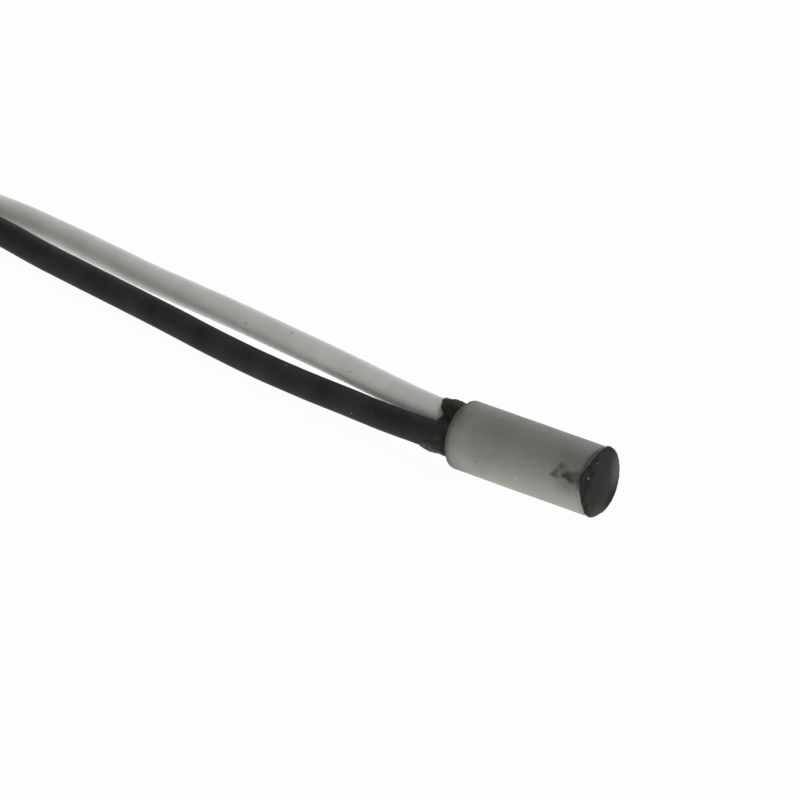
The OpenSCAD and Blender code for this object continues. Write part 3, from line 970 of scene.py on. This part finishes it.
potting = mesh_object("lead_end_resin", *potting_mesh())
potting.data.materials.append(black_resin())
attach(potting, "root")
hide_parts("lead_end_potting")

# Sensing chip and its joints
# Inside the case a thin-film platinum chip lies in cement, and its wires are joined to the leads.
# These parts keep their solids; fired, drawn, tinned or cast, each gets its own surface.


def plain_surface(name, size, dark, light, depth, settings):
    """A material with soft patches of a size in mm, and dents of half that size."""
    material, tree, place = new_material(name)
    base = clouded(tree, place, size, 3, dark, light)
    dents = dented(tree, place, size / 2, detail=3, strength=0.4, depth=depth)
    finish_material(tree, settings, {"Base Color": base, "Normal": dents})
    return material


# Magnesia cement: chalky white, with the pits that its water leaves.
cement = plain_surface("white_cement_cast", 0.4, "#d2cfc6", "#e4e1d9", 0.05, {"Roughness": 0.9})
# Lapped alumina: smooth, dense and a little translucent.
chip_alumina = plain_surface("white_alumina_lapped", 0.3, "#e2e1dc", "#ecebe7", 0.004,
                             {"Roughness": 0.35, "IOR": 1.76, "Subsurface Weight": 0.2,
                              "Subsurface Radius": (1, 1, 1), "Subsurface Scale": 0.3 * MM})
# Platinum: grey-white and bright, faintly streaked where it was drawn or trimmed.
platinum = plain_surface("platinum_bright", 0.1, "#b9b7b1", "#d3d1cb", 0.002,
                         {"Metallic": 1.0, "Roughness": 0.24})
# Fired glass: clear with a blue cast, and a surface pulled smooth by the heat.
glass = plain_surface("clear_glass_fired", 0.5, "#b9ccd2", "#cad9dd", 0.006,
                      {"Roughness": 0.06, "IOR": 1.5, "Transmission Weight": 0.9})
# Tinned copper sleeve: satin, dulled where it was pressed.
sleeve = plain_surface("tinned_sleeve_pressed", 0.35, "#9d9b95", "#c3c1bb", 0.01,
                       {"Metallic": 1.0, "Roughness": 0.38})

for surface, names in ((cement, ["element_filler"]), (chip_alumina, ["chip_substrate"]),
                       (platinum, ["platinum_track", "element_wire_a", "element_wire_b"]),
                       (glass, ["glass_cover", "glass_bead"]),
                       (sleeve, ["splice_sleeve_a", "splice_sleeve_b"]),
                       (tinned, ["white_lead_conductor", "black_lead_conductor"])):
    for name in names:
        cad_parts[name].material_slots[0].material = surface

# Bench
# A plain pale board carries the probe, lit from behind and, near the case, from below too.
# To the camera the board and the surround are white, and only a trace of the shadow stays.
GLOW_AT_CASE = 1.55
GLOW_FAR_OFF = 1.08
# How much of the board's light is its own glow, as it lights the probe and as it is seen.
GLOW_SHARE = 0.5
GLOW_SHARE_SEEN = 0.97
# The glow at the case is a pool: its middle, and along X the reach of its full part and of its
# edge, in mm. Along Y it is narrower by a factor.
POOL_X = 2
POOL_Y = -1
POOL_FULL = 4
POOL_END = 10
POOL_NARROWER = 1.2
ROOM_BEHIND = 0.75
ROOM_FRONT = 0.42
# Direction from the probe to the brightest part of the room.
BRIGHT_SIDE = (-0.3, 0.9, 0.3)
HALF_BOARD = 1000 * MM
floor_mesh = bpy.data.meshes.new("bench_board")
corners = [Vector((x, y, 0)) * HALF_BOARD for x, y in ((-1, -1), (1, -1), (1, 1), (-1, 1))]
floor_mesh.from_pydata(corners, [], [(0, 1, 2, 3)])
floor = bpy.data.objects.new("bench_board", floor_mesh)
bpy.context.collection.objects.link(floor)


def seen_directly(tree):
    """1 for camera, glossy and transmission rays, and 0 for the light that falls on a surface."""
    rays = node(tree, "ShaderNodeLightPath")
    seen = node(tree, "ShaderNodeMath", {"operation": "MAXIMUM"},
                {0: rays.outputs["Is Camera Ray"], 1: rays.outputs["Is Glossy Ray"]})
    seen = node(tree, "ShaderNodeMath", {"operation": "MAXIMUM"},
                {0: seen.outputs[0], 1: rays.outputs["Is Transmission Ray"]})
    return seen.outputs[0]


def white_board():
    """Matt white board that glows; seen directly it is mostly white, with a faint shadow."""
    material = bpy.data.materials.new("white_board_matt")
    material.use_nodes = True
    tree = material.node_tree
    tree.nodes.clear()
    seen = seen_directly(tree)
    share = node(tree, "ShaderNodeMapRange", {"To Min": GLOW_SHARE, "To Max": GLOW_SHARE_SEEN},
                 {"Value": seen})
    where = node(tree, "ShaderNodeNewGeometry")
    away = node(tree, "ShaderNodeVectorMath",
                {"operation": "MULTIPLY_ADD", 1: (1 / MM, POOL_NARROWER / MM, 0),
                 2: (-POOL_X, -POOL_Y * POOL_NARROWER, 0)}, {0: where.outputs["Position"]})
    away = node(tree, "ShaderNodeVectorMath", {"operation": "LENGTH"}, {0: away.outputs[0]})
    pool = node(tree, "ShaderNodeMapRange",
                {"interpolation_type": "SMOOTHSTEP", "From Min": POOL_FULL, "From Max": POOL_END,
                 "To Min": GLOW_AT_CASE / GLOW_SHARE, "To Max": GLOW_FAR_OFF / GLOW_SHARE},
                {"Value": away.outputs["Value"]})
    glow = node(tree, "ShaderNodeMix", {3: 1.0}, {0: seen, 2: pool.outputs[0]})
    matt = node(tree, "ShaderNodeBsdfDiffuse", {"Color": linear("#d9d9d6")})
    white = node(tree, "ShaderNodeEmission", {"Color": (1, 1, 1, 1)},
                 {"Strength": glow.outputs[0]})
    both = node(tree, "ShaderNodeMixShader", {}, {0: share.outputs[0], 1: matt.outputs[0],
                                                  2: white.outputs[0]})
    node(tree, "ShaderNodeOutputMaterial", links={"Surface": both.outputs[0]})
    return material


floor_mesh.materials.append(white_board())


def set_surround():
    """A pale room, brighter behind the probe than in front; seen directly it is white."""
    world = bpy.data.worlds.new("pale_room")
    world.use_nodes = True
    tree = world.node_tree
    tree.nodes.clear()
    toward = node(tree, "ShaderNodeTexCoord")
    behind = node(tree, "ShaderNodeVectorMath", {"operation": "DOT_PRODUCT", 1: BRIGHT_SIDE},
                  {0: toward.outputs["Generated"]})
    level = node(tree, "ShaderNodeMapRange",
                 {"interpolation_type": "SMOOTHSTEP", "From Min": 0.0, "From Max": 0.9,
                  "To Min": ROOM_FRONT, "To Max": ROOM_BEHIND}, {"Value": behind.outputs["Value"]})
    strength = node(tree, "ShaderNodeMix", {3: 1.0},
                    {0: seen_directly(tree), 2: level.outputs[0]})
    room = node(tree, "ShaderNodeBackground", {"Color": (1, 1, 1, 1)},
                {"Strength": strength.outputs[0]})
    node(tree, "ShaderNodeOutputWorld", links={"Surface": room.outputs[0]})
    bpy.context.scene.world = world


def soft_lamp(name, azimuth, elevation, distance, size, watts):
    """A square soft lamp that points at the probe, from a direction in degrees and mm."""
    turn = math.radians(azimuth)
    rise = math.radians(elevation)
    place = Vector((math.cos(turn) * math.cos(rise), math.sin(turn) * math.cos(rise),
                    math.sin(rise))) * distance * MM
    data = bpy.data.lights.new(name, "AREA")
    data.shape = "SQUARE"
    data.size = size * MM
    data.energy = watts
    lamp = bpy.data.objects.new(name, data)
    lamp.location = place
    lamp.rotation_euler = place.to_track_quat("Z", "Y").to_euler()
    bpy.context.collection.objects.link(lamp)


set_surround()
soft_lamp("lamp_behind", 105, 30, 300, 250, 0.15)
bpy.context.scene.view_settings.view_transform = "Standard"
